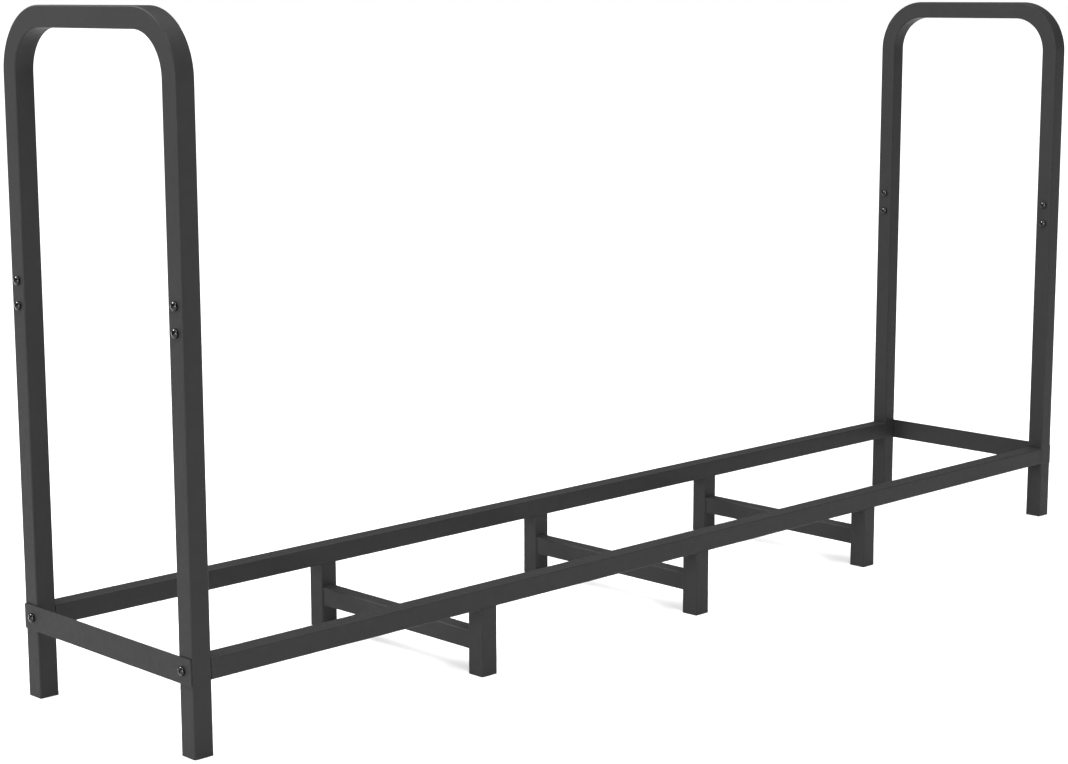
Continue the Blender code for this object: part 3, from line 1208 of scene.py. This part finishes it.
@dataclass(frozen=True)
class Bead:
    """A run of weld between two points, coated over."""

    start: Vector
    end: Vector
    radius: float = 0.0016
    ripple_pitch: float = 0.0013
    ripple: float = 0.10
    sides: int = 10
    tip: float = 0.55  # share of the radius where the bead starts and ends
    tip_growth: float = 0.25  # how much of the radius each step in from the tip adds

    def add_to(self, bm: bmesh.types.BMesh) -> None:
        """Add the bead to a shape.

        Args:
            bm: The shape.
        """
        run = self.end - self.start
        turn = run.to_track_quat("Z", "Y").to_matrix().to_4x4()
        place = Matrix.Translation(self.start) @ turn
        count = max(4, round(run.length / self.ripple_pitch) * 2)
        size = self.radius * self.tip
        made = bmesh.ops.create_circle(bm, cap_ends=True, segments=self.sides, radius=size)
        verts = list(made["verts"])
        loop = list({edge for vert in verts for edge in vert.link_edges})
        everything = set(verts)
        for step in range(1, count + 1):
            ends = min(1.0, self.tip + self.tip_growth * min(step, count - step))
            swell = 1.0 + (self.ripple if step % 2 else -self.ripple)
            target = self.radius * ends * swell
            grow = Matrix.Diagonal((target / size, target / size, 1.0, 1.0))
            rise = Matrix.Translation((0.0, 0.0, run.length / count))
            loop = extrude_edges(bm, loop, rise @ grow)
            everything |= {vert for edge in loop for vert in edge.verts}
            size = target
        bmesh.ops.edgeloop_fill(bm, edges=loop)
        bmesh.ops.transform(bm, matrix=place, verts=list(everything))


@dataclass
class LegWelds:
    """The welds between a pair of short legs, their rails and their brace."""

    number: int
    coat: Finish
    inset: float = 0.0024  # how far a bead stops short of a corner
    small_radius: float = 0.0013
    flush_depth: float = 0.0015  # how far in a bead lies where leg and rail are flush
    flush_rise: float = 0.0005
    flush_ripple: float = 0.06

    def build(self) -> None:
        """Build the welds of one pair and dress them."""
        brace = Box.of(f"cross_brace_{self.number}")
        for side in SIDES:
            leg = Box.of(f"{side}_leg_{self.number}")
            beads = self.rail_beads(leg) + self.brace_beads(leg, brace, side)
            bm = bmesh.new()
            for bead in beads:
                bead.add_to(bm)
            bm.verts.layers.float.new(EDGE_WEAR_AND_HIGHLIGHT_LAYER)
            bmesh.ops.recalc_face_normals(bm, faces=bm.faces)
            name = f"{side}_leg_{self.number}_welds"
            add_piece(name, mesh_from(bm, name, 75.0), self.coat, even_shading=False)
            LOG.info("%s: %d beads", name, len(beads))

    def rail_beads(self, leg: Box) -> list[Bead]:
        """List the beads under the rail, on the leg's four faces.

        Args:
            leg: The leg's box.

        Returns:
            The beads.
        """
        beads = []
        for x in (leg.low.x, leg.high.x):
            start = Vector((x, leg.low.y + self.inset, leg.high.z))
            end = Vector((x, leg.high.y - self.inset, leg.high.z))
            beads.append(Bead(start, end))
        for y in (leg.low.y + self.flush_depth, leg.high.y - self.flush_depth):
            start = Vector((leg.low.x + self.inset, y, leg.high.z + self.flush_rise))
            end = Vector((leg.high.x - self.inset, y, leg.high.z + self.flush_rise))
            beads.append(Bead(start, end, self.small_radius, ripple=self.flush_ripple))
        return beads

    def brace_beads(self, leg: Box, brace: Box, side: str) -> list[Bead]:
        """List the beads round the end of the brace.

        Args:
            leg: The leg's box.
            brace: The brace's box.
            side: Which of the two legs it is.

        Returns:
            The beads.
        """
        y = leg.high.y if side == "front" else leg.low.y
        beads = []
        for z in (brace.low.z, brace.high.z):
            start = Vector((brace.low.x + self.inset, y, z))
            end = Vector((brace.high.x - self.inset, y, z))
            beads.append(Bead(start, end))
        for x in (brace.low.x, brace.high.x):
            start = Vector((x, y, brace.low.z + self.inset))
            end = Vector((x, y, brace.high.z - self.inset))
            beads.append(Bead(start, end, self.small_radius))
        return beads


@dataclass
class HiddenSteel:
    """The sleeves and threaded blocks inside the tubes, which keep their frame meshes."""

    zinc: Finish

    def build(self) -> None:
        """Give every hidden steel node its finish."""
        slots = {part["node"]: part["material_slot"] for part in frame["record"]["subparts"]}
        for node, slot in slots.items():
            if slot == self.zinc.slot.value:
                steel = frame["nodes"][node]
                steel.data.materials.clear()
                steel.data.materials.append(self.zinc.material)
                LOG.info("%s: zinc plate", node)


# ---- Stage ---------------------------------------------------------------------------------


@dataclass(frozen=True)
class SoftBox:
    """A square soft box that hangs at a place and points at another."""

    name: str
    at: tuple[float, float, float]
    aim: tuple[float, float, float]
    side: float
    watts: float
    glossy_only: bool = False  # shows in glossy faces and gives no even light

    def hang(self) -> None:
        """Hang the light."""
        light = bpy.data.lights.new(self.name, "AREA")
        light.shape = "SQUARE"
        light.size = self.side
        light.energy = self.watts
        lamp = add_object(self.name, light)
        lamp.visible_diffuse = not self.glossy_only
        lamp.location = self.at
        lamp.rotation_euler = (Vector(self.aim) - Vector(self.at)).to_track_quat("-Z", "Y").to_euler()


@dataclass
class Stage:
    """The floor, the lights and the camera."""

    floor_side: float = 120.0
    sky_seen: float = 1.0
    sky_light: float = 0.20
    overhead: float = 3.95
    overhead_spread: float = 76.0
    overhead_height: float = 6.0
    camera_at: tuple[float, float, float] = (-2.6413, -2.5233, 0.98387)
    heading: float = 45.11
    tilt: float = 9.82
    lens: float = 75.60
    shift: tuple[float, float] = (-0.0324, 0.0024)
    soft_boxes: tuple[SoftBox, ...] = (
        SoftBox("key_soft_box", (-6.0, -0.8, 1.0), (-1.0, 0.0, 0.3), 1.6, 66.0),
        SoftBox("fill_soft_box", (-3.0, -5.5, 1.6), (-0.6, 0.0, 0.4), 2.5, 6.0),
        SoftBox("inner_soft_box", (-1.3, -1.6, 3.0), (0.9, 0.0, 0.3), 1.6, 76.0),
        SoftBox("rear_soft_box", (-3.5, 3.5, 3.2), (-0.8, 0.0, 0.5), 1.6, 120.0),
        SoftBox("upper_glint", (-3.6, 3.4, 3.2), (0.0, 0.0, 0.5), 1.7, 320.0, True),
        SoftBox("side_glint", (-6.0, -2.2, 0.9), (0.0, 0.0, 0.5), 1.4, 240.0, True),
    )

    def build(self, floor: bpy.types.Material) -> None:
        """Set the stage.

        Args:
            floor: The floor's material.
        """
        self.lay_floor(floor)
        self.hang_sky()
        self.set_lights()
        self.set_camera()
        bpy.context.scene.view_settings.view_transform = "Standard"
        LOG.info("stage: floor, sky, lights and camera")

    def lay_floor(self, material: bpy.types.Material) -> None:
        """Lay the floor.

        Args:
            material: The floor's material.
        """
        bm = bmesh.new()
        bmesh.ops.create_grid(bm, x_segments=12, y_segments=12, size=self.floor_side / 2)
        mesh = bpy.data.meshes.new("studio_floor")
        bm.to_mesh(mesh)
        bm.free()
        mesh.materials.append(material)
        floor = add_object("studio_floor", mesh)

    def hang_sky(self) -> None:
        """Make the even white surroundings, which light the rack less than they show."""
        world = bpy.data.worlds.new("white_studio")
        world.use_nodes = True
        bpy.context.scene.world = world
        tree = world.node_tree
        background = tree.nodes["Background"]
        background.inputs["Color"].default_value = (1.0, 1.0, 1.0, 1.0)
        rays = tree.nodes.new("ShaderNodeLightPath")
        strength = tree.nodes.new("ShaderNodeMapRange")
        strength.inputs["To Min"].default_value = self.sky_light
        strength.inputs["To Max"].default_value = self.sky_seen
        tree.links.new(rays.outputs["Is Camera Ray"], strength.inputs["Value"])
        tree.links.new(strength.outputs["Result"], background.inputs["Strength"])

    def set_lights(self) -> None:
        """Hang the even overhead light and the soft boxes."""
        overhead = bpy.data.lights.new("overhead_light", "SUN")
        overhead.energy = self.overhead
        overhead.angle = math.radians(self.overhead_spread)
        lamp = add_object("overhead_light", overhead)
        lamp.location = (0.0, 0.0, self.overhead_height)
        for box in self.soft_boxes:
            box.hang()

    def set_camera(self) -> None:
        """Set the camera at the front left, a little above the hoops."""
        data = bpy.data.cameras.new("camera")
        data.lens = self.lens
        data.sensor_width = 36.0
        data.shift_x, data.shift_y = self.shift
        data.clip_end = 500.0
        camera = add_object("camera", data)
        camera.location = self.camera_at
        camera.rotation_euler = (math.radians(90.0 - self.tilt), 0.0, math.radians(-self.heading))
        bpy.context.scene.camera = camera


# ---- The rack ------------------------------------------------------------------------------


class LogRack:
    """The whole rack."""

    def __init__(self) -> None:
        """Make the finishes that its pieces share."""
        self.coat = PowderCoat().finish()
        self.black = BlackFastener().finish()
        self.zinc = ZincPlate().finish()
        self.plastic = PlugPlastic().finish()

    def build(self) -> None:
        """Build every sub-assembly in order."""
        self.build_end_frames()
        self.build_base()
        self.build_fasteners()
        self.build_plugs()
        HiddenSteel(self.zinc).build()

    def build_end_frames(self) -> None:
        """Build the hoops, the posts and the end bars."""
        for end in ENDS:
            Hoop(end, self.coat).build()
            EndBar(end, self.coat).build()
            for side in SIDES:
                StraightTube(f"{side}_{end}_post", Axis.Z, self.coat).build()

    def build_base(self) -> None:
        """Build the rails, the short legs, their braces and their welds."""
        for side in SIDES:
            StraightTube(f"{side}_rail", Axis.X, self.coat, (FIT_GAP, FIT_GAP)).build()
        for number in LEG_NUMBERS:
            for side in SIDES:
                StraightTube(f"{side}_leg_{number}", Axis.Z, self.coat, (0.0, FIT_GAP)).build()
            StraightTube(f"cross_brace_{number}", Axis.Y, self.coat, (FIT_GAP, FIT_GAP)).build()
            LegWelds(number, self.coat).build()

    def build_fasteners(self) -> None:
        """Build the screws and nuts of the hoop joints and the screws of the end bars."""
        screws = ScrewMaker(self.black)
        nuts = NutMaker(self.black)
        for end in ENDS:
            inwards = Axis.X if end == "left" else Axis.MINUS_X
            for side in SIDES:
                for level in ("lower", "upper"):
                    screws.build(f"{side}_{end}_{level}_screw", Axis.X)
                    nuts.build(f"{side}_{end}_{level}_nut")
                screws.build(f"{side}_{end}_bar_screw", inwards)

    def build_plugs(self) -> None:
        """Build the plug in the foot of every post and leg."""
        for side in SIDES:
            for end in ENDS:
                FootPlug(f"{side}_{end}_foot_plug", self.plastic).build()
            for number in LEG_NUMBERS:
                FootPlug(f"{side}_leg_{number}_foot_plug", self.plastic).build()


def main() -> None:
    """Build the rack and set its stage."""
    logging.basicConfig(level=logging.INFO, format="%(name)s: %(message)s")
    LogRack().build()
    Stage().build(PaleFloor().material())


if __name__ == "__main__":
    main()
